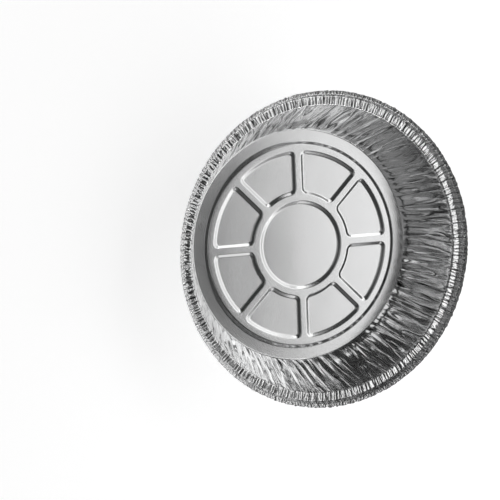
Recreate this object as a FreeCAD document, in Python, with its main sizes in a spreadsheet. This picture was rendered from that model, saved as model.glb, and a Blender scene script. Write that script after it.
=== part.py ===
"""Foil pie tin: a round pan pressed in one stroke from a single disc of thin aluminium foil.

The flat base carries an embossed web: a hub ring, straight spokes and an outer ring stand up from
recessed panels. A rounded corner leads to a flared wall full of fine folds, because the foil has more
edge than the wall has room for. A flat crimped ledge, a steep rise and a nearly flat crimped flange
close the rim.
Millimetres, +Z up, origin at the centre of the base's underside.
"""
import FreeCAD, Part
import math
import os
import Sketcher

NODE = "pie_tin"

# Driving sizes in millimetres, and counts. The embossing is measured between the middles of its bevels.
SIZES = {
    "foil_thickness": 0.1,
    "base_radius": 86.0,
    "corner_radius": 2.0,
    "wall_top_radius": 104.6,
    "ledge_height": 44.3,
    "ledge_width": 5.8,
    "rise_spread": 1.6,
    "rise_height": 4.0,
    "flange_spread": 3.0,
    "flange_height": 1.0,
    "web_height": 1.1,
    "bevel_run": 2.8,
    "disc_radius": 31.7,
    "hub_ring_width": 7.3,
    "spoke_width": 6.8,
    "web_ring_width": 7.0,
    "flat_ring_width": 10.1,
    "panel_corner_radius": 3.4,
    "spoke_count": 8,
    "fold_count": 84,
    "corner_fold": 0.3,
    "wall_fold": 1.3,
    "ledge_fold": 0.6,
    "lip_fold": 0.8,
    "rim_raggedness": 0.6,
}

# How uneven the folds are: the shallowest as a share of the deepest, and how far a column of corners
# drifts along the rim, in columns
SHALLOWEST_FOLD = 0.3
FOLD_DRIFT = 0.8
# Whole waves round the rim of the folds' depth, of their drift and of the ragged rim
DEPTH_WAVES = 38
DRIFT_WAVES = 15
RAGGED_WAVES = 76
# Where the wall's facets break, as a share of the way from its foot to its top
WALL_BREAKS = (0.5,)
# Closest points that count as one
SAME_POINT = 1e-4

# Sizes that follow from the driving ones: the radii of the panels and of the web, the angles that the
# wall, the rise and the flange climb at, and where the base's flat ends and its corner starts to bend
FOLLOWING_SIZES = {
    "hub_radius": "=disc_radius + hub_ring_width",
    "web_radius": "=base_radius - flat_ring_width",
    "panel_radius": "=web_radius - web_ring_width",
    "wall_turn": "=atan2(ledge_height; wall_top_radius - base_radius)",
    "rise_turn": "=atan2(rise_height; rise_spread)",
    "flange_turn": "=atan2(flange_height; flange_spread)",
    "bend_start": "=base_radius - corner_radius * tan(wall_turn / 2)",
}

document = FreeCAD.newDocument("foil_pie_tin")


def make_sheet():
    """Writes the sizes to a spreadsheet, one named cell each."""
    sheet = document.addObject("Spreadsheet::Sheet", "sizes")
    for row, (name, content) in enumerate({**SIZES, **FOLLOWING_SIZES}.items(), start=1):
        sheet.set(f"A{row}", name)
        sheet.set(f"B{row}", str(content))
        sheet.setAlias(f"B{row}", name)
    document.recompute()
    return sheet


sizes = make_sheet()


def bind(item, expressions):
    """Ties each named property of an object to an expression on the sheet."""
    for name, expression in expressions.items():
        item.setExpression(name, expression)


def origin_feature(body, role):
    """Finds one of a body's origin planes or axes."""
    return next(item for item in body.Origin.OriginFeatures if item.Role == role)


# Embossed base

def panel_sketch(body, name, spread, level):
    """Outline of the panel next to the spoke on +X: two arcs, two sides along the spokes, round corners.

    spread is -1 at the bevel's foot and 1 at its top; level is an expression for the outline's height.
    """
    step = 2 * math.pi / sizes.spoke_count
    offset = spread * sizes.bevel_run / 2
    outer = sizes.panel_radius + offset
    inner = sizes.hub_radius - offset
    side = sizes.spoke_width / 2 - offset
    round_radius = sizes.panel_corner_radius + offset
    centre = FreeCAD.Vector(0, 0, 0)

    def mirrored(point):
        """The same point across the panel's middle line."""
        angle = step - math.atan2(point.y, point.x)
        return FreeCAD.Vector(point.Length * math.cos(angle), point.Length * math.sin(angle), 0)

    def round_centre(radius):
        """Centre of a round corner that lies radius from the tin's axis and touches the near side."""
        across = side + round_radius
        return FreeCAD.Vector(math.sqrt(radius ** 2 - across ** 2), across, 0)

    def arc(middle, radius, start, end):
        """Arc that runs anticlockwise from start to end."""
        angles = [math.atan2(point.y - middle.y, point.x - middle.x) for point in (start, end)]
        return Part.ArcOfCircle(Part.Circle(middle, FreeCAD.Vector(0, 0, 1), radius), *angles)

    outer_round = round_centre(outer - round_radius)
    inner_round = round_centre(inner + round_radius)
    outer_foot = FreeCAD.Vector(outer_round.x, side, 0)
    inner_foot = FreeCAD.Vector(inner_round.x, side, 0)
    outer_end = outer_round * (outer / outer_round.Length)
    inner_end = inner_round * (inner / inner_round.Length)

    sketch = body.newObject("Sketcher::SketchObject", name)
    sketch.AttachmentSupport = [(origin_feature(body, "XY_Plane"), "")]
    sketch.MapMode = "FlatFace"
    sketch.setExpression("AttachmentOffset.Base.z", level)
    near_side = sketch.addGeometry(Part.LineSegment(inner_foot, outer_foot))
    near_outer = sketch.addGeometry(arc(outer_round, round_radius, outer_foot, outer_end))
    outer_arc = sketch.addGeometry(arc(centre, outer, outer_end, mirrored(outer_end)))
    far_outer = sketch.addGeometry(
        arc(mirrored(outer_round), round_radius, mirrored(outer_end), mirrored(outer_foot))
    )
    far_side = sketch.addGeometry(Part.LineSegment(mirrored(outer_foot), mirrored(inner_foot)))
    far_inner = sketch.addGeometry(
        arc(mirrored(inner_round), round_radius, mirrored(inner_foot), mirrored(inner_end))
    )
    inner_arc = sketch.addGeometry(arc(centre, inner, inner_end, mirrored(inner_end)))
    near_inner = sketch.addGeometry(arc(inner_round, round_radius, inner_end, inner_foot))

    start, end, middle, root = 1, 2, 3, -1
    joints = (
        (near_side, end, near_outer, start),
        (near_outer, end, outer_arc, start),
        (outer_arc, end, far_outer, start),
        (far_outer, end, far_side, start),
        (far_side, end, far_inner, start),
        (far_inner, end, inner_arc, end),
        (inner_arc, start, near_inner, start),
        (near_inner, end, near_side, start),
    )
    for joint in joints:
        sketch.addConstraint(Sketcher.Constraint("Tangent", *joint))
    for edge in (outer_arc, inner_arc):
        sketch.addConstraint(Sketcher.Constraint("Coincident", edge, middle, root, start))
    sketch.addConstraint(Sketcher.Constraint("Horizontal", near_side))

    def dimension(label, constraint, expression):
        """Adds a dimension to the sketch and ties it to the sheet."""
        sketch.renameConstraint(sketch.addConstraint(constraint), label)
        sketch.setExpression("Constraints." + label, expression)

    shift = f"({spread} * sizes.bevel_run / 2)"
    dimension("outer", Sketcher.Constraint("Radius", outer_arc, outer), f"sizes.panel_radius + {shift}")
    dimension("inner", Sketcher.Constraint("Radius", inner_arc, inner), f"sizes.hub_radius - {shift}")
    for number, edge in enumerate((near_outer, far_outer, far_inner, near_inner), start=1):
        constraint = Sketcher.Constraint("Radius", edge, round_radius)
        dimension(f"round_{number}", constraint, f"sizes.panel_corner_radius + {shift}")
    for label, edge in (("near", near_side), ("far", far_side)):
        constraint = Sketcher.Constraint("Distance", root, start, edge, side)
        dimension(label, constraint, f"sizes.spoke_width / 2 - {shift}")
    turn = Sketcher.Constraint("Angle", root, start, far_side, end, step)
    dimension("turn", turn, "360 deg / sizes.spoke_count")
    return sketch


def web_form():
    """The shape under the embossed web: a low drafted ring with the panels and the centre disc cut out."""
    body = document.addObject("PartDesign::Body", "web_form")
    ring = body.newObject("PartDesign::AdditiveCone", "web_ring")
    bind(ring, {
        "Radius1": "sizes.web_radius + sizes.bevel_run / 2",
        "Radius2": "sizes.web_radius - sizes.bevel_run / 2",
        "Height": "sizes.web_height",
    })
    disc = body.newObject("PartDesign::SubtractiveCone", "centre_disc")
    bind(disc, {
        "Radius1": "sizes.disc_radius - sizes.bevel_run / 2",
        "Radius2": "sizes.disc_radius + sizes.bevel_run / 2",
        "Height": "sizes.web_height",
    })
    panel = body.newObject("PartDesign::SubtractiveLoft", "panel")
    panel.Profile = panel_sketch(body, "panel_foot", -1, "0 mm")
    panel.Sections = [panel_sketch(body, "panel_top", 1, "sizes.web_height")]
    panel.Ruled = True
    document.recompute()
    panels = body.newObject("PartDesign::PolarPattern", "panels")
    panels.Originals = [panel]
    panels.Axis = (origin_feature(body, "Z_Axis"), [""])
    panels.Angle = 360
    bind(panels, {"Occurrences": "sizes.spoke_count"})
    body.Tip = panels
    return body


def base_plate():
    """The flat base: foil that covers the web's form and lies on the ground everywhere else."""
    form = web_form()
    disc = document.addObject("Part::Prism", "flat_disc")
    bind(disc, {
        "Polygon": "2 * sizes.fold_count",
        "Circumradius": "sizes.bend_start",
        "Height": "sizes.foil_thickness",
    })
    raised = document.addObject("Part::Compound", "raised_form")
    raised.Links = [form]
    bind(raised, {"Placement.Base.z": "sizes.foil_thickness"})
    covered = document.addObject("Part::Fuse", "covered_form")
    covered.Base = disc
    covered.Tool = raised
    plate = document.addObject("Part::Cut", "base_plate")
    plate.Base = covered
    plate.Tool = form
    return plate


# Folded wall, ledge, rise and flange

def unevenness(turn, waves, row):
    """A made-up irregular value between -1 and 1 at an angle round the tin, different in each row.

    It is a wave whose own pace is uneven, and it closes on itself after a full turn.
    """
    pace = math.sin(round(waves / 3) * turn + row)
    return math.sin(waves * turn + 1.7 * pace)


def bend_normal(before, after):
    """Direction (across, up) to the foil's inner face at a bend between two runs that rise at these angles.

    It halves the bend and is long enough to keep the foil's thickness on both sides of it.
    """
    middle = (before + after) / 2
    length = 1 / math.cos((after - before) / 2)
    return (-math.sin(middle) * length, math.cos(middle) * length)


def section_rows():
    """The section's corner points from the base outwards, on the foil's outer face.

    Each row is (radius, height, normal, fold), where fold is the folds' full depth at that row.
    """
    wall_turn = math.radians(sizes.wall_turn)
    rise_turn = math.radians(sizes.rise_turn)
    flange_turn = math.radians(sizes.flange_turn)
    bend_start = sizes.bend_start
    ledge_radius = sizes.wall_top_radius + sizes.ledge_width
    crest_radius = ledge_radius + sizes.rise_spread
    crest_height = sizes.ledge_height + sizes.rise_height
    edge_radius = crest_radius + sizes.flange_spread
    edge_height = crest_height + sizes.flange_height
    wall_normal = bend_normal(wall_turn, wall_turn)

    rows = [(bend_start, 0, bend_normal(0, 0), 0)]
    for turn, fold in ((wall_turn / 2, sizes.corner_fold), (wall_turn, sizes.wall_fold)):
        across = bend_start + sizes.corner_radius * math.sin(turn)
        up = sizes.corner_radius * (1 - math.cos(turn))
        rows.append((across, up, bend_normal(turn, turn), fold))
    foot_across, foot_up = rows[-1][:2]
    for share in WALL_BREAKS:
        across = foot_across + (sizes.wall_top_radius - foot_across) * share
        up = foot_up + (sizes.ledge_height - foot_up) * share
        rows.append((across, up, wall_normal, sizes.wall_fold))
    rows.append((sizes.wall_top_radius, sizes.ledge_height, bend_normal(wall_turn, 0), sizes.ledge_fold))
    rows.append((ledge_radius, sizes.ledge_height, bend_normal(0, rise_turn), sizes.ledge_fold))
    rows.append((crest_radius, crest_height, bend_normal(rise_turn, flange_turn), sizes.lip_fold))
    rows.append((edge_radius, edge_height, bend_normal(flange_turn, flange_turn), sizes.lip_fold))
    return rows


def folded_points(rows, columns):
    """Every corner of the folded sides: first the foil's outer face row by row, then its inner face."""
    last = len(rows) - 1
    flange_turn = math.radians(sizes.flange_turn)
    points = []
    for face_depth in (0, sizes.foil_thickness):
        for row, (radius, height, normal, fold) in enumerate(rows):
            ragged_depth = sizes.rim_raggedness / 2 if row == last else 0
            drift_reach = FOLD_DRIFT * 2 * math.pi / columns if row else 0
            for column in range(columns):
                turn = 2 * math.pi * column / columns
                side = 1 if column % 2 else -1
                share = (1 + unevenness(turn, DEPTH_WAVES, row)) / 2
                depth = fold * (SHALLOWEST_FOLD + (1 - SHALLOWEST_FOLD) * share)
                inwards = side * depth / 2 + face_depth
                ragged = ragged_depth * unevenness(turn, RAGGED_WAVES, row)
                across = radius + normal[0] * inwards + ragged * math.cos(flange_turn)
                up = height + normal[1] * inwards + ragged * math.sin(flange_turn)
                angle = turn + drift_reach * unevenness(turn, DRIFT_WAVES, row / 2)
                points.append((across * math.cos(angle), across * math.sin(angle), up))
    return points


def folded_sides():
    """Wall, ledge, rise and flange as one open skin of flat facets: both faces and the cut edge."""
    columns = 2 * int(sizes.fold_count)
    rows = section_rows()
    last = len(rows) - 1
    facets = []

    def corner(face, row, column):
        """Number of one point of the skin."""
        return (face * len(rows) + row) * columns + column % columns

    def fill(first, second, third, fourth):
        """Two facets between four corners."""
        facets.append((first, second, third))
        facets.append((first, third, fourth))

    for near in range(columns):
        far = near + 1
        for row in range(last):
            above = row + 1
            fill(corner(0, row, near), corner(0, row, far), corner(0, above, far), corner(0, above, near))
            fill(corner(1, row, near), corner(1, above, near), corner(1, above, far), corner(1, row, far))
        fill(corner(0, last, near), corner(0, last, far), corner(1, last, far), corner(1, last, near))
    skin = Part.Shape()
    skin.makeShapeFromMesh((folded_points(rows, columns), facets), SAME_POINT)
    return skin


def pie_tin(plate):
    """The whole tin: the base's faces, without the flat disc's cut edge, sewn to the folded sides."""
    base_faces = [
        face for face in plate.Shape.Faces
        if math.hypot(face.CenterOfMass.x, face.CenterOfMass.y) < sizes.web_radius
    ]
    skin = Part.makeCompound(base_faces + folded_sides().Faces)
    skin.sewShape()
    tin = document.addObject("Part::Feature", NODE)
    tin.Label = NODE
    tin.Shape = Part.Solid(skin.Shells[0])
    return tin


def check(item):
    """Stops with a message if an object failed or its shape is empty or invalid."""
    if "Invalid" in item.State or "Error" in item.State:
        raise RuntimeError(f"{item.Name} failed: {item.State}")
    shape = getattr(item, "Shape", None)
    if shape is not None and (shape.isNull() or not shape.isValid()):
        raise RuntimeError(f"{item.Name} has no valid shape")


def main():
    """Builds the tin, checks every object and writes the node's file."""
    plate = base_plate()
    document.recompute()
    tin = pie_tin(plate)
    document.recompute()
    for item in document.Objects:
        if not item.isDerivedFrom("App::OriginFeature"):
            check(item)
    if len(tin.Shape.Solids) != 1 or not tin.Shape.isClosed():
        raise RuntimeError("the tin isn't one closed solid")
    os.makedirs("parts", exist_ok=True)
    tin.Shape.exportStep(f"parts/{tin.Label}.step")
    box = tin.Shape.BoundBox
    print(f"{tin.Label}: {len(tin.Shape.Faces)} faces, {tin.Shape.Volume:.1f} cubic mm,")
    print(f"box {box.XLength:.2f} x {box.YLength:.2f} x {box.ZLength:.2f}, from {box.ZMin:.3f} up")


main()
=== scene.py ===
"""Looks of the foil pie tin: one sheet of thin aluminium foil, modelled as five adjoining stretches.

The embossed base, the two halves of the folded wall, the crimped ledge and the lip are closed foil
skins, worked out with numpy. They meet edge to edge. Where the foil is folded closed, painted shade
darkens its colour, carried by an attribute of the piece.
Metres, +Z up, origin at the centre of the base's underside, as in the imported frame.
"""
import logging
import math
from dataclasses import dataclass
from enum import Enum

import bpy
import numpy as np
from mathutils import Matrix, Vector


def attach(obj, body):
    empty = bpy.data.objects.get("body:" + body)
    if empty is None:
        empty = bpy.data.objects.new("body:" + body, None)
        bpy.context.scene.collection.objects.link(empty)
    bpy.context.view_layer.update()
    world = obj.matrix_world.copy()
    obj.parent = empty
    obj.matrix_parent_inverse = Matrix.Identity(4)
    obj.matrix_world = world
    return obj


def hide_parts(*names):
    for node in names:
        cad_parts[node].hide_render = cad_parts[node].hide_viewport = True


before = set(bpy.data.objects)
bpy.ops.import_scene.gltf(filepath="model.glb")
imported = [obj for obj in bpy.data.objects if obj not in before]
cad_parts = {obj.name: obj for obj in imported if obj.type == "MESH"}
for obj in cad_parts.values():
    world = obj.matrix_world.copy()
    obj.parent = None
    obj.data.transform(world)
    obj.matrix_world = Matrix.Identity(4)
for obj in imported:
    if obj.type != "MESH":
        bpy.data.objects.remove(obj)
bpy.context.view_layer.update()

WALL_COLUMNS = 2160
RIM_COLUMNS = 3200
MIX_SOCKETS = {"FLOAT": (2, 3, 0), "RGBA": (6, 7, 2)}
NODE = "pie_tin"
BODY = "root"
# Attribute with the painted shade that darkens the foil along its closed creases.
PAINTED_SHADE_LAYER = "folded_shut"
LOG = logging.getLogger("foil_pie_tin")
MM = 0.001
TURN = 2 * math.pi


class Stretch(Enum):
    """The stretches of the foil, by the name of their piece."""

    BASE = "foil_base"
    LOWER_WALL = "foil_lower_wall"
    UPPER_WALL = "foil_upper_wall"
    LEDGE = "foil_ledge"
    LIP = "foil_lip"


@dataclass(frozen=True)
class TinSizes:
    """Driving sizes of the tin, in metres. The embossing is measured between the middles of its bevels."""

    foil: float = 0.1 * MM
    base_radius: float = 86.0 * MM
    corner_radius: float = 1.0 * MM
    wall_top_radius: float = 104.6 * MM
    ledge_height: float = 44.3 * MM
    ledge_width: float = 5.8 * MM
    rise_spread: float = 1.6 * MM
    rise_height: float = 4.0 * MM
    flange_spread: float = 2.9 * MM
    flange_height: float = 0.85 * MM
    web_height: float = 1.0 * MM
    bevel_run: float = 2.4 * MM
    disc_radius: float = 31.7 * MM
    hub_ring_width: float = 7.3 * MM
    spoke_width: float = 6.8 * MM
    web_ring_width: float = 7.0 * MM
    flat_ring_width: float = 10.1 * MM
    panel_round: float = 3.4 * MM
    spoke_count: int = 8

    @property
    def hub_radius(self) -> float:
        """Inner radius of the panels."""
        return self.disc_radius + self.hub_ring_width

    @property
    def web_radius(self) -> float:
        """Outer radius of the raised web."""
        return self.base_radius - self.flat_ring_width

    @property
    def panel_radius(self) -> float:
        """Outer radius of the panels."""
        return self.web_radius - self.web_ring_width

    @property
    def wall_turn(self) -> float:
        """Angle that the wall rises at, from the base."""
        return math.atan2(self.ledge_height, self.wall_top_radius - self.base_radius)

    @property
    def rise_turn(self) -> float:
        """Angle that the rise climbs at, from the ledge."""
        return math.atan2(self.rise_height, self.rise_spread)

    @property
    def flange_turn(self) -> float:
        """Angle that the flange climbs at, from the ledge."""
        return math.atan2(self.flange_height, self.flange_spread)

    @property
    def bend_start(self) -> float:
        """Radius where the flat base ends and the corner starts to bend."""
        return self.base_radius - self.corner_radius * math.tan(self.wall_turn / 2)


def crease_wave(phase: np.ndarray, sharpness: float = 0.97) -> np.ndarray:
    """Zigzag between -1 and 1, the arcsine of a sine, with its corners rounded a little.

    Args:
        phase: where on the wave, in waves.
        sharpness: 1 gives a sharp zigzag and 0 a sine.

    Returns:
        The wave's height at each phase.
    """
    return np.arcsin(sharpness * np.sin(TURN * phase)) / math.asin(sharpness)


def ease(value: np.ndarray, start: float, end: float) -> np.ndarray:
    """Smooth step from 0 at start to 1 at end."""
    share = np.clip((value - start) / (end - start), 0, 1)
    return share * share * (3 - 2 * share)


def rounded_least(first: np.ndarray, second: np.ndarray, radius: float) -> np.ndarray:
    """Lesser of two distances, with the corner between them rounded to the radius.

    Inside the corner's square it is the radius less the distance to the corner circle's centre.

    Args:
        first: distances to one side, positive inside it.
        second: distances to the other side.
        radius: of the rounded corner.

    Returns:
        The lesser distance at each point.
    """
    near_first, near_second = np.maximum(radius - first, 0), np.maximum(radius - second, 0)
    corner = radius - np.hypot(near_first, near_second)
    return np.where((near_first > 0) & (near_second > 0), corner, np.minimum(first, second))


@dataclass(frozen=True)
class Unevenness:
    """A smooth irregular field round the tin: a sum of waves with whole counts round it.

    Args:
        seed: picks the waves.
        most_round: highest count of waves round the tin.
        along: steepest phase along the section, in radians per metre.
        terms: number of waves.
    """

    seed: int
    most_round: int
    along: float = 0.0
    terms: int = 14

    def at(self, turn: np.ndarray, path: np.ndarray) -> np.ndarray:
        """The field, mostly between -1 and 1: the waves' sum over the square root of their number.

        Args:
            turn: angles round the tin.
            path: lengths along the section.

        Returns:
            The field at each point.
        """
        random = np.random.default_rng(self.seed)
        total = np.zeros(np.broadcast(turn, path).shape)
        for _ in range(self.terms):
            count = random.integers(1, self.most_round + 1)
            slope = random.uniform(-self.along, self.along)
            total += np.sin(count * turn + slope * path + random.uniform(0, TURN))
        return total / math.sqrt(self.terms)


@dataclass(frozen=True)
class FoilSection:
    """The foil's underside in section: it leaves the base's flat and ends at the flange's edge.

    Its direction is a function of the length along it: steady on the wall, the ledge, the rise and the
    flange, and turning evenly in the bends between them. Summing the direction along the length gives
    the line.

    Args:
        sizes: the tin's sizes.
        shoulder_radius: of the bend from the wall to the ledge.
        foot_radius: of the bend from the ledge to the rise.
        crest_radius: of the bend from the rise to the flange.
        steps: points at which the direction is summed.
    """

    sizes: TinSizes
    shoulder_radius: float = 1.5 * MM
    foot_radius: float = 0.7 * MM
    crest_radius: float = 1.3 * MM
    steps: int = 4000

    def runs(self) -> list[tuple[float, float, float]]:
        """The stretches of the line.

        A bend takes its radius times the tangent of half its turn from the straights beside it.

        Returns:
            For each, its length, the direction at its start and the direction at its end.
        """
        size = self.sizes
        wall, rise, flange = size.wall_turn, size.rise_turn, size.flange_turn
        wall_length = math.hypot(size.wall_top_radius - size.base_radius, size.ledge_height)
        rise_length = math.hypot(size.rise_spread, size.rise_height)
        flange_length = math.hypot(size.flange_spread, size.flange_height)
        corner_reach = size.corner_radius * math.tan(wall / 2)
        shoulder_reach = self.shoulder_radius * math.tan(wall / 2)
        foot_reach = self.foot_radius * math.tan(rise / 2)
        crest_reach = self.crest_radius * math.tan((rise - flange) / 2)
        return [
            (size.corner_radius * wall, 0, wall),
            (wall_length - corner_reach - shoulder_reach, wall, wall),
            (self.shoulder_radius * wall, wall, 0),
            (size.ledge_width - shoulder_reach - foot_reach, 0, 0),
            (self.foot_radius * rise, 0, rise),
            (rise_length - foot_reach - crest_reach, rise, rise),
            (self.crest_radius * (rise - flange), rise, flange),
            (flange_length - crest_reach, flange, flange),
        ]

    def marks(self) -> list[float]:
        """Lengths along the line at which its stretches end."""
        return list(np.cumsum([length for length, _, _ in self.runs()]))

    def at(self, path: np.ndarray) -> tuple[np.ndarray, ...]:
        """Point and inward normal of the line.

        Args:
            path: lengths along the line, in metres, which may pass its end by a little.

        Returns:
            Radius, height, and the normal's parts across and up, each shaped as path.
        """
        runs = self.runs()
        knots = np.concatenate(([0], np.cumsum([length for length, _, _ in runs])))
        reach = np.linspace(-2 * MM, knots[-1] * 1.1, self.steps)
        direction = np.where(reach < 0, 0.0, runs[-1][2])
        for (length, first, last), start in zip(runs, knots):
            inside = (reach >= start) & (reach < start + length)
            direction[inside] = first + (last - first) * (reach[inside] - start) / length
        step = reach[1] - reach[0]
        middle = (direction[1:] + direction[:-1]) / 2
        across = self.sizes.bend_start + reach[0] + np.concatenate(([0], np.cumsum(np.cos(middle)) * step))
        up = np.concatenate(([0], np.cumsum(np.sin(middle)) * step))
        turn = np.interp(path, reach, direction)
        return np.interp(path, reach, across), np.interp(path, reach, up), -np.sin(turn), np.cos(turn)


@dataclass(frozen=True)
class Facets:
    """Nearly flat facets, longer up the section than across, with sharp creases where they meet.

    They are the cells of scattered points, in a measure where each cell is one wide and one high. The foil
    dips by the exponential of how much nearer the nearest point is than the next, and each facet tilts
    a little by itself.

    Args:
        seed: picks the points.
        width: of a cell round the tin, in metres.
        height: of a cell along the section.
        crease: width of a crease as a share of a cell.
        tilt: steepest slope of a facet across its width.
        radius: at which the width is measured.
        reach: length of section that the points cover.
    """

    seed: int
    width: float
    height: float
    crease: float
    tilt: float
    radius: float = 96 * MM
    reach: float = 62 * MM

    def at(self, turn: np.ndarray, path: np.ndarray) -> tuple[np.ndarray, np.ndarray]:
        """The creases between the facets, and the facets' tilt.

        Each cell of a brick pattern holds one point, so only the points of the nearest cells are measured.

        Args:
            turn: angles round the tin.
            path: lengths along the section.

        Returns:
            Share of a crease's depth, 1 on it and 0 in a facet, and how far the tilt lifts the foil.
        """
        random = np.random.default_rng(self.seed)
        round_count = round(TURN * self.radius / self.width)
        levels = math.ceil(self.reach / self.height) + 5
        aside, above, slope = random.uniform(-0.42, 0.42, (3, levels, round_count))
        slope *= self.tilt / 0.42
        place = turn / TURN * round_count + 0.22 * Unevenness(self.seed + 7, 40, 160.0).at(turn, path)
        level = path / self.height + 2
        first, second, lift = np.full(path.shape, 9.0), np.full(path.shape, 9.0), np.zeros(path.shape)
        for row_step in range(-2, 3):
            row = np.floor(level).astype(int) + row_step
            brick = 0.5 * (row % 2)
            for column_step in range(-2, 4):
                column = np.floor(place).astype(int) + column_step
                cell = (row, column % round_count)
                across = place - column - brick - aside[cell]
                distance = np.hypot(across, level - row - 0.5 - above[cell])
                closer = distance < first
                second = np.where(closer, first, np.minimum(second, distance))
                first = np.where(closer, distance, first)
                lift = np.where(closer, slope[cell] * across * self.width, lift)
        creases = np.exp((first - second) / self.crease)
        return creases, lift * (1 - creases)


@dataclass(frozen=True)
class Folds:
    """How far the folds push the foil in or out, by the angle round the tin and the section's length.

    Args:
        section: the foil's section.
        wall_depth: height of the wall's soft folds.
        rim_depth: height of the rim's crimps.
        crease_depth: depth of a sharp crease or groove.
        groove_reach: distance over which a groove's dip fades.
        painted_shade_reach: distance over which its painted shade fades.
        mean_radius: radius at which those distances are measured.
        broad_folds: soft folds round the wall, and so on for the other counts.
    """

    section: FoilSection
    wall_depth: float = 0.50 * MM
    rim_depth: float = 0.14 * MM
    crease_depth: float = 0.42 * MM
    groove_reach: float = 0.5 * MM
    painted_shade_reach: float = 0.36 * MM
    mean_radius: float = 97 * MM
    broad_folds: int = 74
    leaning_folds: int = 103
    long_grooves: int = 78
    short_grooves: int = 108
    coarse_crimps: int = 142
    fine_crimps: int = 262
    rim_grooves: int = 250

    def wave(self, count: int, seed: int, lean: float, turn: np.ndarray, path: np.ndarray) -> np.ndarray:
        """Folds with a whole count round the tin, that bunch, spread, lean and deepen unevenly.

        Args:
            count: folds round the tin.
            seed: picks their unevenness.
            lean: waves by which the folds slant, per metre along the section.
            turn: angles round the tin.
            path: lengths along the section.

        Returns:
            A zigzag of the drifting phase, times an uneven strength of about 0.1 to 1.1.
        """
        drift = Unevenness(seed, 19, 35.0).at(turn, path)
        wander = Unevenness(seed + 1, 47, 110.0).at(turn, path)
        phase = count * turn / TURN + 0.30 * drift + 0.13 * wander + lean * path
        strength = np.clip(0.6 + 0.38 * Unevenness(seed + 2, 60, 60.0).at(turn, path), 0.08, 1.15)
        return crease_wave(phase) * strength

    def grooves(
        self, seed: int, count: int, presence: float, turn: np.ndarray, path: np.ndarray
    ) -> tuple[np.ndarray, np.ndarray]:
        """Thin V-shaped grooves that run up the section, wander, fade in and out and merge.

        Each lies on a line where a drifting phase is whole. Its dip is the exponential of the distance
        from the line. Along the line itself, where the groove is folded closed, painted shade darkens it.

        Args:
            seed: picks their lines.
            count: lines round the tin.
            presence: mean strength, from about 0 for rare grooves to 1 for grooves on every line.
            turn: angles round the tin.
            path: lengths along the section.

        Returns:
            The grooves' share of their full depth, and the strength of their painted shade.
        """
        lean = Unevenness(seed, 23, 60.0).at(turn, path)
        wander = Unevenness(seed + 1, 90, 150.0).at(turn, path)
        phase = count * turn / TURN + 0.55 * lean + 0.22 * wander
        away = np.abs((phase + 0.5) % 1 - 0.5) * TURN * self.mean_radius / count
        present = np.clip(presence + 0.9 * Unevenness(seed + 2, count, 190.0).at(turn, path), 0, 1.1)
        # The second value is painted shade along the groove's line, where it is folded closed.
        return np.exp(-away / self.groove_reach) * present, np.exp(-(away / self.painted_shade_reach) ** 2) * present

    def on_wall(self, turn: np.ndarray, path: np.ndarray) -> tuple[np.ndarray, np.ndarray]:
        """Soft folds that start in the base's corner, with thin grooves and, near the top, facets.

        Args:
            turn: angles round the tin.
            path: lengths along the section.

        Returns:
            How far the foil is pushed in, and the strength of the painted shade where it is folded closed.
        """
        foot, top = self.section.marks()[:2]
        rise = 0.3 * ease(path, foot - 0.8 * MM, foot + 0.5 * MM) + 0.7 * ease(path, foot, foot + 6.0 * MM)
        height = np.clip(path / top, 0, 1)
        broad = self.wave(self.broad_folds, 11, 0.0, turn, path)
        leaning = self.wave(self.leaning_folds, 21, 18.0, turn, path)
        folds = self.wall_depth * (1 - 0.4 * ease(height, 0.2, 0.9)) * (broad + 0.45 * leaning)
        long_dips, long_painted_shade = self.grooves(41, self.long_grooves, 0.55, turn, path)
        short_dips, short_painted_shade = self.grooves(45, self.short_grooves, 0.42, turn, path)
        creases, lifts = Facets(4, 2.2 * MM, 6 * MM, 0.16, 0.2).at(turn, path)
        facets = 0.6 * ease(height, 0.6, 1.0) * (lifts - 0.4 * self.crease_depth * creases)
        dips = self.crease_depth * (0.9 * long_dips + 0.7 * short_dips)
        # Painted shade along the grooves, growing in from the wall's foot.
        painted_shade = ease(path, foot, foot + 2.0 * MM) * np.clip(0.95 * long_painted_shade + 0.85 * short_painted_shade, 0, 1)
        return rise * (folds - dips + facets), painted_shade

    def on_rim(self, turn: np.ndarray, path: np.ndarray) -> tuple[np.ndarray, np.ndarray]:
        """Radial crimps of the ledge with sharp dips between them, and small cells up the lip.

        Args:
            turn: angles round the tin.
            path: lengths along the section.

        Returns:
            How far the foil is pushed in, and the strength of the painted shade where it is folded closed.
        """
        marks = self.section.marks()
        coarse = self.wave(self.coarse_crimps, 61, 18.0, turn, path)
        fine = self.wave(self.fine_crimps, 71, 40.0, turn, path)
        creases, lifts = Facets(5, 2.1 * MM, 9.0 * MM, 0.15, 0.16).at(turn, path)
        fine_creases, fine_lifts = Facets(6, 1.3 * MM, 1.6 * MM, 0.16, 0.36).at(turn, path)
        lip = ease(path, marks[3], marks[4])
        crimps = (1 - 0.5 * lip) * (0.45 * coarse + 0.6 * fine)
        dips, shut = self.grooves(81, self.rim_grooves, 0.72, turn, path)
        beads = (1 - 0.6 * lip) * (lifts - self.crease_depth * (0.4 * creases + 0.7 * dips))
        cells = (0.4 + 0.9 * lip) * (fine_lifts - 0.3 * self.crease_depth * fine_creases)
        # Painted shade along the grooves and the fine creases, with a little even darkening over the lip.
        painted_shade = np.clip((0.9 - 0.45 * lip) * shut + (0.3 + 0.4 * lip) * fine_creases + 0.08 * lip, 0, 1)
        return self.rim_depth * crimps + beads + cells, painted_shade

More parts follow.
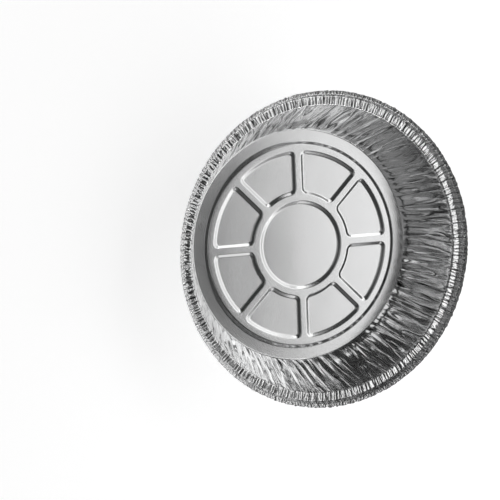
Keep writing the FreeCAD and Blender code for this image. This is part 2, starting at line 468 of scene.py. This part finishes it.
    def at(self, turn: np.ndarray, path: np.ndarray) -> tuple[np.ndarray, np.ndarray]:
        """Both sets of folds, blended over the wall's top edge.

        Args:
            turn: angles round the tin.
            path: lengths along the section.

        Returns:
            How far the foil is pushed in, and the strength of the painted shade where it is folded closed.
        """
        marks = self.section.marks()
        blend = ease(path, marks[1] - 1.5 * MM, marks[2])
        pairs = zip(self.on_wall(turn, path), self.on_rim(turn, path))
        push, painted_shade = ((1 - blend) * wall + blend * rim for wall, rim in pairs)
        return push, painted_shade


def grid_normals(grid: np.ndarray) -> np.ndarray:
    """Outward normals of a grid closed round the tin, for all its rows but the first and the last.

    Each is the cross product of the step from the column before to the one after and of the step from
    the row before to the one after.

    Args:
        grid: rows by columns by 3 points, rows from the axis outwards.

    Returns:
        The inner rows' normals, of length 1.
    """
    round_step = np.roll(grid, -1, axis=1) - np.roll(grid, 1, axis=1)
    normals = np.cross(round_step[1:-1], grid[2:] - grid[:-2])
    return normals / np.linalg.norm(normals, axis=-1, keepdims=True)


@dataclass(frozen=True)
class FoilSheet:
    """A closed skin between an underside grid and an inner-face grid, both closed round the tin.

    Args:
        name: the object's name.
        under: rows by columns by 3 points of the underside, rows from the axis outwards.
        upper: the same for the inner face.
        outward: the underside's normals, rows by columns by 3, which match the next stretch's at the ends.
        painted_shade: rows by columns of painted shade, 1 where the foil is folded closed and 0 where it is
            open.
        disc: closed over the axis instead of open in the middle.
    """

    name: str
    under: np.ndarray
    upper: np.ndarray
    outward: np.ndarray
    painted_shade: np.ndarray
    disc: bool = False

    def sheets(self) -> np.ndarray:
        """Faces of both grids, the underside's facing out and the inner face's facing in.

        Returns:
            One row of four point numbers for each face.
        """
        rows, columns, _ = self.under.shape
        near = np.arange(columns)
        far = (near + 1) % columns
        low = (np.arange(rows - 1) * columns)[:, None]
        under = np.stack([low + near, low + far, low + columns + far, low + columns + near], -1)
        upper = under[..., ::-1] + rows * columns
        return np.concatenate([under.reshape(-1, 4), upper.reshape(-1, 4)])

    def cut_edge(self, row: int) -> np.ndarray:
        """Faces of the foil's thickness along one row, facing away from the rest.

        Args:
            row: the first row or the last.

        Returns:
            One row of four point numbers for each face.
        """
        rows, columns, _ = self.under.shape
        near = np.arange(columns)
        far = (near + 1) % columns
        edge, across = row * columns, rows * columns
        strip = np.stack([edge + near, edge + near + across, edge + far + across, edge + far], -1)
        return strip if row == 0 else strip[:, ::-1]

    def middle(self) -> np.ndarray:
        """Faces between the first row of each grid and its own point on the axis.

        Returns:
            One row of three point numbers for each face.
        """
        rows, columns, _ = self.under.shape
        near = np.arange(columns)
        far = (near + 1) % columns
        across = rows * columns
        under = np.stack([np.full(columns, 2 * across), far, near], -1)
        upper = np.stack([np.full(columns, 2 * across + 1), near + across, far + across], -1)
        return np.concatenate([under, upper])

    def build(self) -> bpy.types.Object:
        """Makes the piece, with smooth faces and the painted shade of its creases as an attribute of its
        points.

        Returns:
            The object, at the origin.
        """
        rows = len(self.under)
        points = [self.under.reshape(-1, 3), self.upper.reshape(-1, 3)]
        normals = [self.outward.reshape(-1, 3), -self.outward.reshape(-1, 3)]
        painted_shade = [self.painted_shade.ravel()] * 2
        groups = [(self.sheets(), True), (self.cut_edge(rows - 1), True)]
        if self.disc:
            points += [self.under[:1].mean(axis=1), self.upper[:1].mean(axis=1)]
            normals.append(np.array([(0, 0, -1), (0, 0, 1)]))
            painted_shade.append(np.zeros(2))
            groups.append((self.middle(), True))
        else:
            groups.append((self.cut_edge(0), True))
        item = add_mesh(self.name, np.concatenate(points), groups)
        item.data.normals_split_custom_set_from_vertices(np.concatenate(normals))
        layer = item.data.attributes.new(PAINTED_SHADE_LAYER, "FLOAT", "POINT")
        layer.data.foreach_set("value", np.concatenate(painted_shade).astype(np.float32))
        return item


def bearing(azimuth: float, elevation: float) -> Vector:
    """Direction of length 1 at an azimuth from +X towards +Y and a height over the table, in radians."""
    flat = math.cos(elevation)
    return Vector((flat * math.cos(azimuth), flat * math.sin(azimuth), math.sin(elevation)))


def add_mesh(name: str, points: np.ndarray, groups: list[tuple[np.ndarray, bool]]) -> bpy.types.Object:
    """Puts points and faces into a new mesh object of the scene.

    Args:
        name: the object's name.
        points: one row of three coordinates each.
        groups: arrays of faces, one row of corner numbers each, with whether they are smooth.

    Returns:
        The object, at the origin.
    """
    sizes = np.concatenate([np.full(len(faces), faces.shape[1]) for faces, _ in groups])
    smooth = np.concatenate([np.full(len(faces), flag) for faces, flag in groups])
    corners = np.concatenate([faces.ravel() for faces, _ in groups])
    starts = np.concatenate(([0], np.cumsum(sizes)[:-1]))
    mesh = bpy.data.meshes.new(name)
    mesh.vertices.add(len(points))
    mesh.vertices.foreach_set("co", points.astype(np.float32).ravel())
    mesh.loops.add(len(corners))
    mesh.loops.foreach_set("vertex_index", corners.astype(np.int32))
    mesh.polygons.add(len(sizes))
    mesh.polygons.foreach_set("loop_start", starts.astype(np.int32))
    mesh.polygons.foreach_set("loop_total", sizes.astype(np.int32))
    mesh.polygons.foreach_set("use_smooth", smooth)
    mesh.update(calc_edges=True)
    mesh.validate()
    item = bpy.data.objects.new(name, mesh)
    bpy.context.scene.collection.objects.link(item)
    return item


@dataclass(frozen=True)
class EmbossedBase:
    """The base: flat foil on the table with a raised web of two rings and straight spokes.

    Args:
        sizes: the tin's sizes.
        crown: height of the centre disc's dome.
        ring_drop: fall of the flat ring towards the corner.
        waviness: height of the foil's faint waves.
        softness: roundness of the bevels' ends, as a share of their width.
        wave_count: number of the faint waves.
        wave_seed: picks their directions and lengths.
        shortest_wave: their least length from crest to crest.
        longest_wave: their greatest.
        near_spoke: distances of the close columns from a spoke's middle line, in millimetres.
        across_panel: columns from there to the middle of a panel.
    """

    sizes: TinSizes
    crown: float = 0.16 * MM
    ring_drop: float = 0.20 * MM
    waviness: float = 0.008 * MM
    softness: float = 0.05
    wave_count: int = 16
    wave_seed: int = 8
    shortest_wave: float = 22 * MM
    longest_wave: float = 60 * MM
    near_spoke: tuple[float, ...] = (0, 0.8, 1.5, 1.85, 2.1, 2.4, 2.8, 3.4, 4.0, 4.4, 4.7, 4.95, 5.3, 6.1)
    across_panel: int = 12

    def radii(self) -> np.ndarray:
        """Rows from the axis to the bend's start, close together over the bevels and the panels' corners.

        Each span is its first and last radius in millimetres and its number of rows.

        Returns:
            The rows' radii in metres.
        """
        spans = (
            (1.5, 28, 12), (28.8, 34.6, 17), (35.3, 36.7, 3), (37.2, 44.2, 20), (45.5, 62.5, 9),
            (63.4, 71.4, 22), (72.2, 73.4, 3), (73.9, 78.1, 13), (79.2, 83.0, 4),
        )
        inner = np.concatenate([np.linspace(*span) for span in spans]) * MM
        return np.append(inner, self.sizes.bend_start)

    def angles(self, radii: np.ndarray) -> np.ndarray:
        """Columns, which run parallel to the spokes beside them and spread over the panels between.

        A column at distance d from a spoke's middle line has the angle arcsin(d / r). Near the axis and
        near the wall the columns turn back to even angles.

        Args:
            radii: the rows.

        Returns:
            Rows by columns of angles, closed round the tin.
        """
        half = TURN / self.sizes.spoke_count / 2
        beside = np.array(self.near_spoke) * MM
        fan = np.arange(1, self.across_panel + 1) / self.across_panel
        rows = np.maximum(radii, 18 * MM)[:, None]
        close = np.arcsin(np.minimum(beside / rows, 0.37))
        wide = close[:, -1:] + (half - close[:, -1:]) * fan
        shaped = np.concatenate([close, wide], axis=1)
        even = np.linspace(0, half, shaped.shape[1])[None, :]
        weight = ease(radii, 8 * MM, 30 * MM) * (1 - ease(radii, 78 * MM, 83.5 * MM))
        right = even + (shaped - even) * weight[:, None]
        sector = np.concatenate([right, 2 * half - right[:, -2:0:-1]], axis=1)
        starts = np.arange(self.sizes.spoke_count) * 2 * half
        return (starts[None, :, None] + sector[:, None, :]).reshape(len(radii), -1)

    def height(self, radius: np.ndarray, turn: np.ndarray) -> np.ndarray:
        """Height of the embossing.

        The distance to the web's outline is the least of the distances to its outer circle, to the disc
        and to the panels, whose corners are rounded. Over the bevel the height runs from 0 to the
        web's height in a straight ramp with softened ends.

        Args:
            radius: distances from the axis.
            turn: angles round the tin.

        Returns:
            The height at each point.
        """
        size = self.sizes
        step = TURN / size.spoke_count
        beside = np.abs((turn + step / 2) % step - step / 2)
        side = radius * np.sin(beside) - size.spoke_width / 2
        ring = np.minimum(size.panel_radius - radius, radius - size.hub_radius)
        panel = rounded_least(side, ring, size.panel_round)
        inside = np.minimum(np.minimum(size.web_radius - radius, radius - size.disc_radius), -panel)
        share = inside / size.bevel_run + 0.5
        ramp = (np.hypot(share, self.softness) - np.hypot(share - 1, self.softness) + 1) / 2
        return size.web_height * ramp

    def crowning(self, radius: np.ndarray, turn: np.ndarray) -> np.ndarray:
        """Slight dome of the centre disc and slope of the flat ring, and the foil's faint waviness.

        The disc's dome is a parabola. The ring falls by a smooth step from inside the web's edge to past
        the bend's start. The waves run straight across the base in all directions and fade out at its
        edge.

        Args:
            radius: distances from the axis.
            turn: angles round the tin.

        Returns:
            The height that they add at each point.
        """
        size = self.sizes
        disc = self.crown * np.maximum(1 - (radius / size.disc_radius) ** 2, 0)
        fall = size.web_radius - 4 * MM, size.bend_start + 4 * MM
        ring = self.ring_drop * np.maximum(ease(size.bend_start, *fall) - ease(radius, *fall), 0)
        across, along = radius * np.cos(turn), radius * np.sin(turn)
        random = np.random.default_rng(self.wave_seed)
        waves = np.zeros_like(radius)
        for _ in range(self.wave_count):
            heading = random.uniform(0, TURN)
            length = random.uniform(self.shortest_wave, self.longest_wave)
            way = across * math.cos(heading) + along * math.sin(heading)
            waves += np.sin(TURN / length * way + random.uniform(0, TURN))
        calm = 1 - ease(radius, 70 * MM, 82 * MM)
        return disc + ring + self.waviness * calm * (3 + waves / math.sqrt(self.wave_count))

    def build(self) -> bpy.types.Object:
        """Makes the base's piece. The first and the last row only serve the normals.

        Returns:
            The object, at the origin.
        """
        inner = self.radii()
        radii = np.concatenate(([inner[0] / 2], inner, [inner[-1] + 0.2 * MM]))
        turn = self.angles(radii)
        radius = np.broadcast_to(radii[:, None], turn.shape)
        height = self.height(radius, turn) + self.crowning(radius, turn)
        grid = np.stack([radius * np.cos(turn), radius * np.sin(turn), height], -1)
        under, outward = grid[1:-1], grid_normals(grid)
        upper = under + [0, 0, self.sizes.foil]
        # The base gets no painted shade.
        painted_shade = np.zeros(under.shape[:2])
        return FoilSheet(Stretch.BASE.value, under, upper, outward, painted_shade, disc=True).build()


@dataclass(frozen=True)
class FoldedSide:
    """A stretch of the folded foil round the base: rows along the section, columns round the tin.

    Args:
        stretch: which stretch it is.
        folds: its folds.
        columns: points round the tin.
        rag: how far the cut edge's raggedness reaches in.
    """

    stretch: Stretch
    folds: Folds
    columns: int
    rag: float = 0.45 * MM

    def rows(self) -> np.ndarray:
        """Rows of this stretch, closer together in the bends and near the ledge.

        Each span is its first and last length and its number of rows.

        Returns:
            The rows' lengths along the section.
        """
        corner, wall, shoulder, ledge, foot, rise, crest, edge = self.folds.section.marks()
        middle = 0.48 * wall
        spans = {
            Stretch.LOWER_WALL: (
                (0, corner, 6), (corner + 0.5 * MM, corner + 3.5 * MM, 5), (corner + 5 * MM, middle, 11),
            ),
            Stretch.UPPER_WALL: ((middle, wall - 1.2 * MM, 18), (wall - 0.7 * MM, wall, 4)),
            Stretch.LEDGE: ((wall, shoulder, 5), (shoulder + 0.6 * MM, ledge, 7)),
            Stretch.LIP: (
                (ledge, foot, 3), (foot + 0.7 * MM, rise, 4), (rise + 0.3 * MM, crest, 4),
                (crest + 0.5 * MM, edge, 4),
            ),
        }[self.stretch]
        return np.concatenate([np.linspace(*span) for span in spans])

    def build(self) -> bpy.types.Object:
        """Makes the piece: the section swept round the tin, pushed along its normal by the folds.

        Returns:
            The object, at the origin.
        """
        section = self.folds.section
        turn = (np.arange(self.columns) * TURN / self.columns)[None, :]
        rows = self.rows()
        rows = np.concatenate(([rows[0] - 0.2 * MM], rows, [rows[-1] + 0.2 * MM]))
        path = np.broadcast_to(rows[:, None], (len(rows), self.columns)).copy()
        crest, edge = section.marks()[-2:]
        end_share = ease(path, crest, edge)
        path += self.rag * end_share * (Unevenness(101, 260, 0, 40).at(turn, path) - 1) / 2
        across, up, normal_across, normal_up = section.at(path)
        push, painted_shade = self.folds.at(turn, path)
        grids = []
        for lift in (push, push + section.sizes.foil):
            radius = across + normal_across * lift
            grids.append(np.stack([radius * np.cos(turn), radius * np.sin(turn), up + normal_up * lift], -1))
        under, upper = (grid[1:-1] for grid in grids)
        return FoilSheet(self.stretch.value, under, upper, grid_normals(grids[0]), painted_shade[1:-1]).build()


class NodeGraph:
    """A material's node tree, with short calls to add and join its nodes."""

    def __init__(self, name: str) -> None:
        """Makes the material with an empty tree."""
        self.material = bpy.data.materials.new(name)
        self.material.use_nodes = True
        self.tree = self.material.node_tree
        self.tree.nodes.clear()

    def add(self, kind: str, **settings: object) -> bpy.types.Node:
        """Adds a node.

        Args:
            kind: its type.
            settings: its properties by name.

        Returns:
            The node.
        """
        node = self.tree.nodes.new(kind)
        for name, value in settings.items():
            setattr(node, name, value)
        return node

    def join(self, source: bpy.types.NodeSocket, target: bpy.types.NodeSocket) -> None:
        """Links an output to an input."""
        self.tree.links.new(source, target)

    def between(self, source: bpy.types.NodeSocket, low: float, high: float) -> bpy.types.NodeSocket:
        """Maps a 0 to 1 value onto another range.

        Args:
            source: the value.
            low: what 0 becomes.
            high: what 1 becomes.

        Returns:
            The mapped value.
        """
        node = self.add("ShaderNodeMapRange")
        self.join(source, node.inputs["Value"])
        node.inputs["To Min"].default_value = low
        node.inputs["To Max"].default_value = high
        return node.outputs["Result"]

    def feed(self, source: bpy.types.NodeSocket | float | tuple, target: bpy.types.NodeSocket) -> None:
        """Links an output to an input, or sets the input to a constant.

        Args:
            source: an output, a number or a colour.
            target: the input.
        """
        if isinstance(source, bpy.types.NodeSocket):
            self.join(source, target)
        else:
            target.default_value = source

    def mix(
        self, kind: str, share: bpy.types.NodeSocket | float, first: object, second: object
    ) -> bpy.types.NodeSocket:
        """Mixes two values or two colours, each an output or a constant.

        Args:
            kind: FLOAT or RGBA. A Mix node has other inputs and another output for each.
            share: how much of the second is mixed in.
            first: what share 0 gives.
            second: what share 1 gives.

        Returns:
            The mixed value or colour.
        """
        node = self.add("ShaderNodeMix", data_type=kind)
        low, high, result = MIX_SOCKETS[kind]
        for number, source in ((0, share), (low, first), (high, second)):
            self.feed(source, node.inputs[number])
        return node.outputs[result]

    def noise(self, where: bpy.types.NodeSocket, scale: float, detail: float) -> bpy.types.NodeSocket:
        """Noise between 0 and 1.

        Args:
            where: the coordinates at which it is read.
            scale: its coarsest cells to the metre.
            detail: how many finer layers are added.

        Returns:
            The noise.
        """
        node = self.add("ShaderNodeTexNoise", noise_dimensions="3D")
        self.join(where, node.inputs["Vector"])
        node.inputs["Scale"].default_value = scale
        node.inputs["Detail"].default_value = detail
        return node.outputs["Fac"]


@dataclass(frozen=True)
class FoilFinish:
    """Bare rolled aluminium: fine streaks along the rolling direction, a soft mottle and a faint grain, and
    painted shade along the closed creases.

    Args:
        name: the material's name.
        tone: grey level of the metal.
        smooth: roughness where the foil is shiniest.
        dull: roughness where it is dullest.
        grain: height of the fine grain in metres.
        painted_shade_tone: grey level of the painted shade where the foil is folded closed.
        rolling_turn: direction of the streaks in degrees.
        streak_squeeze: how much finer the streaks are across than along.
        streak_scale: fineness of the streaks, and so on for the mottle and the grain.
        mottle_share: how much of the roughness follows the mottle and not the streaks.
    """

    name: str
    tone: float
    smooth: float
    dull: float
    grain: float
    painted_shade_tone: float = 0.10
    rolling_turn: float = 12.0
    streak_squeeze: float = 14.0
    streak_scale: float = 160.0
    mottle_scale: float = 70.0
    grain_scale: float = 1300.0
    mottle_share: float = 0.45

    def streaks(self, graph: NodeGraph, place: bpy.types.NodeSocket) -> bpy.types.NodeSocket:
        """Noise that is squeezed across the rolling direction.

        Args:
            graph: the material's nodes.
            place: the object's own coordinates.

        Returns:
            The streaks, between 0 and 1.
        """
        squeeze = graph.add("ShaderNodeMapping")
        squeeze.inputs["Rotation"].default_value = (0, 0, math.radians(self.rolling_turn))
        squeeze.inputs["Scale"].default_value = (1, self.streak_squeeze, 1)
        graph.join(place, squeeze.inputs["Vector"])
        return graph.noise(squeeze.outputs["Vector"], self.streak_scale, 4)

    def colour(self, graph: NodeGraph, streaks: bpy.types.NodeSocket) -> bpy.types.NodeSocket:
        """The metal's grey, which the streaks vary a little, darkened by painted shade along the closed
        creases.

        Args:
            graph: the material's nodes.
            streaks: the streaks, between 0 and 1.

        Returns:
            The colour.
        """
        cool = (self.tone * 0.95, self.tone * 0.955, self.tone * 0.96, 1)
        pale = (self.tone * 1.02, self.tone * 1.02, self.tone * 1.02, 1)
        # Painted shade: the attribute darkens the metal's colour along the closed creases.
        painted_shade = graph.add("ShaderNodeAttribute", attribute_name=PAINTED_SHADE_LAYER).outputs["Fac"]
        metal = graph.mix("RGBA", streaks, cool, pale)
        return graph.mix("RGBA", painted_shade, metal, (self.painted_shade_tone, self.painted_shade_tone, self.painted_shade_tone, 1))

    def build(self) -> bpy.types.Material:
        """Makes the material on the object's own coordinates.

        Returns:
            The material.
        """
        graph = NodeGraph(self.name)
        place = graph.add("ShaderNodeTexCoord").outputs["Object"]
        streaks = self.streaks(graph, place)
        mottle = graph.noise(place, self.mottle_scale, 3)
        dullness = graph.mix("FLOAT", self.mottle_share, streaks, mottle)
        bump = graph.add("ShaderNodeBump")
        bump.inputs["Strength"].default_value = 1.0
        bump.inputs["Distance"].default_value = self.grain
        graph.join(graph.noise(place, self.grain_scale, 2), bump.inputs["Height"])
        metal = graph.add("ShaderNodeBsdfPrincipled")
        metal.inputs["Metallic"].default_value = 1.0
        graph.join(self.colour(graph, streaks), metal.inputs["Base Color"])
        graph.join(graph.between(dullness, self.smooth, self.dull), metal.inputs["Roughness"])
        graph.join(bump.outputs["Normal"], metal.inputs["Normal"])
        graph.join(metal.outputs["BSDF"], graph.add("ShaderNodeOutputMaterial").inputs["Surface"])
        return graph.material


@dataclass(frozen=True)
class CameraView:
    """The photograph's viewing angle on the tin.

    Args:
        aim: point on the table at the picture's centre.
        azimuth: direction of the camera from the aim, from +X towards +Y, in degrees.
        elevation: height of the camera over the table, in degrees.
        roll: turn of the camera about its own axis, in degrees.
        distance: from the aim to the camera.
        lens: focal length on a sensor 36 mm wide.
    """

    aim: tuple[float, float, float] = (-0.0407, -0.0007, 0.0)
    azimuth: float = 164.99
    elevation: float = 66.23
    roll: float = 101.49
    distance: float = 1.4177
    lens: float = 138.77

    def build(self) -> None:
        """Places the camera: it looks along the given angles and is then rolled about that line."""
        roll = math.radians(self.roll)
        back = bearing(math.radians(self.azimuth), math.radians(self.elevation))
        level = Vector((0, 0, 1)).cross(back).normalized()
        upright = back.cross(level)
        top = upright * math.cos(roll) - level * math.sin(roll)
        right = top.cross(back)
        place = Vector(self.aim) + back * self.distance
        camera = bpy.data.cameras.new("photo_camera")
        camera.sensor_width = 36
        camera.lens = self.lens
        camera.clip_start = 0.05
        item = bpy.data.objects.new("photo_camera", camera)
        bpy.context.scene.collection.objects.link(item)
        item.matrix_world = Matrix((
            (right.x, top.x, back.x, place.x), (right.y, top.y, back.y, place.y),
            (right.z, top.z, back.z, place.z), (0, 0, 0, 1),
        ))
        bpy.context.scene.camera = item


@dataclass(frozen=True)
class Softbox:
    """A square area lamp that faces the tin.

    Args:
        name: the lamp's name.
        azimuth: its direction from the tin, in degrees.
        elevation: its height over the table, in degrees.
        size: its width and height in metres.
        power: in watts.
        distance: from the tin.
    """

    name: str
    azimuth: float
    elevation: float
    size: tuple[float, float]
    power: float
    distance: float

    def build(self) -> None:
        """Hangs the lamp in its place and turns it to the tin."""
        away = bearing(math.radians(self.azimuth), math.radians(self.elevation))
        lamp = bpy.data.lights.new(self.name, "AREA")
        lamp.shape = "RECTANGLE"
        lamp.size, lamp.size_y = self.size
        lamp.energy = self.power
        item = bpy.data.objects.new(self.name, lamp)
        item.location = away * self.distance
        item.rotation_euler = away.to_track_quat("Z", "Y").to_euler()
        bpy.context.scene.collection.objects.link(item)


class Studio:
    """The plain pale floor, the surroundings and the lamps.

    Each fade is a part of the direction that is looked in, where along it the fade starts and ends, and
    the strengths or shares there.
    """

    FLOOR_REACH = 6.0
    FLOOR_GAP = 0.05 * MM
    FLOOR_SEEN = 0.70
    FLOOR_MIRRORED = 0.45
    HORIZON = ("Z", 0.0, 0.32, 0.32, 0.04)
    SIDE = ("Y", -0.35, 0.40, 0.32, 0.0)
    SIDE_HEIGHT = ("Z", 0.62, 0.85, 1.0, 0.15)
    SKY = ("X", 0.386, 0.404, 0.0, 1.45)
    SKY_HEIGHT = ("Z", 0.50, 0.74, 0.0, 1.0)
    SKY_SIDE = ("Y", -0.42, -0.15, 0.32, 1.0)
    SKY_FAR = ("X", 0.43, 0.54, 1.0, 0.6)
    ZENITH = ("Z", 0.945, 0.985, 0.0, 0.36)
    SOFTBOXES = (
        Softbox("softbox_high", -2, 38, (0.80, 0.42), 0.85, 0.75),
        Softbox("softbox_low", -62, 13, (1.70, 0.42), 4.8, 0.95),
        Softbox("softbox_side", 30, 9, (0.55, 0.26), 1.1, 0.95),
        Softbox("softbox_back", 131, 26, (0.40, 0.34), 0.42, 0.95),
        Softbox("softbox_upper_back", 60, 43, (0.34, 0.34), 0.36, 0.95),
        Softbox("softbox_upper_front", -66, 36, (0.26, 0.22), 0.12, 0.95),
    )

    def floor(self) -> None:
        """A wide pale floor, which the camera and every mirror see as white apart from shadows."""
        graph = NodeGraph("pale_floor")
        paint = graph.add("ShaderNodeBsdfDiffuse")
        paint.inputs["Color"].default_value = (0.82, 0.82, 0.82, 1)
        rays = graph.add("ShaderNodeLightPath")
        mirrored = graph.add("ShaderNodeMath", operation="MAXIMUM")
        graph.join(rays.outputs["Is Glossy Ray"], mirrored.inputs[0])
        graph.join(rays.outputs["Is Transmission Ray"], mirrored.inputs[1])
        strength = graph.add("ShaderNodeMath", operation="MAXIMUM")
        graph.join(graph.between(rays.outputs["Is Camera Ray"], 0, self.FLOOR_SEEN), strength.inputs[0])
        graph.join(graph.between(mirrored.outputs[0], 0, self.FLOOR_MIRRORED), strength.inputs[1])
        glow = graph.add("ShaderNodeEmission")
        graph.join(strength.outputs[0], glow.inputs["Strength"])
        both = graph.add("ShaderNodeAddShader")
        graph.join(paint.outputs["BSDF"], both.inputs[0])
        graph.join(glow.outputs["Emission"], both.inputs[1])
        graph.join(both.outputs["Shader"], graph.add("ShaderNodeOutputMaterial").inputs["Surface"])
        reach = self.FLOOR_REACH
        corners = np.array([(-reach, -reach, 0), (reach, -reach, 0), (reach, reach, 0), (-reach, reach, 0)])
        floor = add_mesh("floor", corners, [(np.array([[0, 1, 2, 3]]), False)])
        floor.location.z = -self.FLOOR_GAP
        floor.data.materials.append(graph.material)

    def surroundings(self) -> None:
        """A dark grey room: paler towards the horizon, on the low lamp's side, high over +X and overhead.

        The strength is the greatest of the four. The patch high over +X is the product of its fades.
        """
        world = bpy.data.worlds.new("plain_room")
        world.use_nodes = True
        tree = world.node_tree
        tree.nodes.clear()
        direction = tree.nodes.new("ShaderNodeTexCoord")
        split = tree.nodes.new("ShaderNodeSeparateXYZ")
        tree.links.new(direction.outputs["Generated"], split.inputs["Vector"])

        def fade(axis: str, start: float, end: float, low: float, high: float) -> bpy.types.NodeSocket:
            """Strength that runs smoothly over a span of one part of the direction.

            Args:
                axis: which part.
                start: where the span starts.
                end: where it ends.
                low: strength up to its start.
                high: strength from its end on.

            Returns:
                The strength.
            """
            node = tree.nodes.new("ShaderNodeMapRange")
            node.interpolation_type = "SMOOTHSTEP"
            for name, value in (("From Min", start), ("From Max", end), ("To Min", low), ("To Max", high)):
                node.inputs[name].default_value = value
            tree.links.new(split.outputs[axis], node.inputs["Value"])
            return node.outputs["Result"]

        def combined(
            operation: str, first: bpy.types.NodeSocket, second: bpy.types.NodeSocket
        ) -> bpy.types.NodeSocket:
            """One value from two.

            Args:
                operation: MULTIPLY or MAXIMUM.
                first: one value.
                second: the other.

            Returns:
                The new value.
            """
            node = tree.nodes.new("ShaderNodeMath")
            node.operation = operation
            tree.links.new(first, node.inputs[0])
            tree.links.new(second, node.inputs[1])
            return node.outputs["Value"]

        side = combined("MULTIPLY", fade(*self.SIDE), fade(*self.SIDE_HEIGHT))
        sky = combined("MULTIPLY", fade(*self.SKY), fade(*self.SKY_HEIGHT))
        sky = combined("MULTIPLY", combined("MULTIPLY", sky, fade(*self.SKY_SIDE)), fade(*self.SKY_FAR))
        light = tree.nodes.new("ShaderNodeBackground")
        output = tree.nodes.new("ShaderNodeOutputWorld")
        walls = combined("MAXIMUM", combined("MAXIMUM", fade(*self.HORIZON), side), fade(*self.ZENITH))
        tree.links.new(combined("MAXIMUM", walls, sky), light.inputs["Strength"])
        tree.links.new(light.outputs["Background"], output.inputs["Surface"])
        bpy.context.scene.world = world

    def build(self) -> None:
        """Sets up the whole studio."""
        self.floor()
        self.surroundings()
        for softbox in self.SOFTBOXES:
            softbox.build()
        bpy.context.scene.view_settings.view_transform = "Standard"


def dress_tin() -> None:
    """Builds the stretches of foil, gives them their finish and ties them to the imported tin."""
    sizes = TinSizes()
    folds = Folds(FoilSection(sizes))
    satin = FoilFinish("foil_satin", 0.86, 0.15, 0.20, 0.02 * MM).build()
    bright = FoilFinish("foil_bright", 0.83, 0.08, 0.14, 0.006 * MM).build()
    crumpled = FoilFinish("foil_crumpled", 0.84, 0.14, 0.22, 0.01 * MM).build()
    pieces = (
        (EmbossedBase(sizes).build(), satin),
        (FoldedSide(Stretch.LOWER_WALL, folds, WALL_COLUMNS).build(), bright),
        (FoldedSide(Stretch.UPPER_WALL, folds, WALL_COLUMNS).build(), bright),
        (FoldedSide(Stretch.LEDGE, folds, RIM_COLUMNS).build(), bright),
        (FoldedSide(Stretch.LIP, folds, RIM_COLUMNS).build(), crumpled),
    )
    for piece, finish in pieces:
        piece.data.materials.append(finish)
        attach(piece, BODY)
        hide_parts(NODE)
        LOG.info("%s: %d faces", piece.name, len(piece.data.polygons))


def main() -> None:
    """Makes the scene."""
    logging.basicConfig(level=logging.INFO)
    CameraView().build()
    Studio().build()
    dress_tin()


if __name__ == "__main__":
    main()
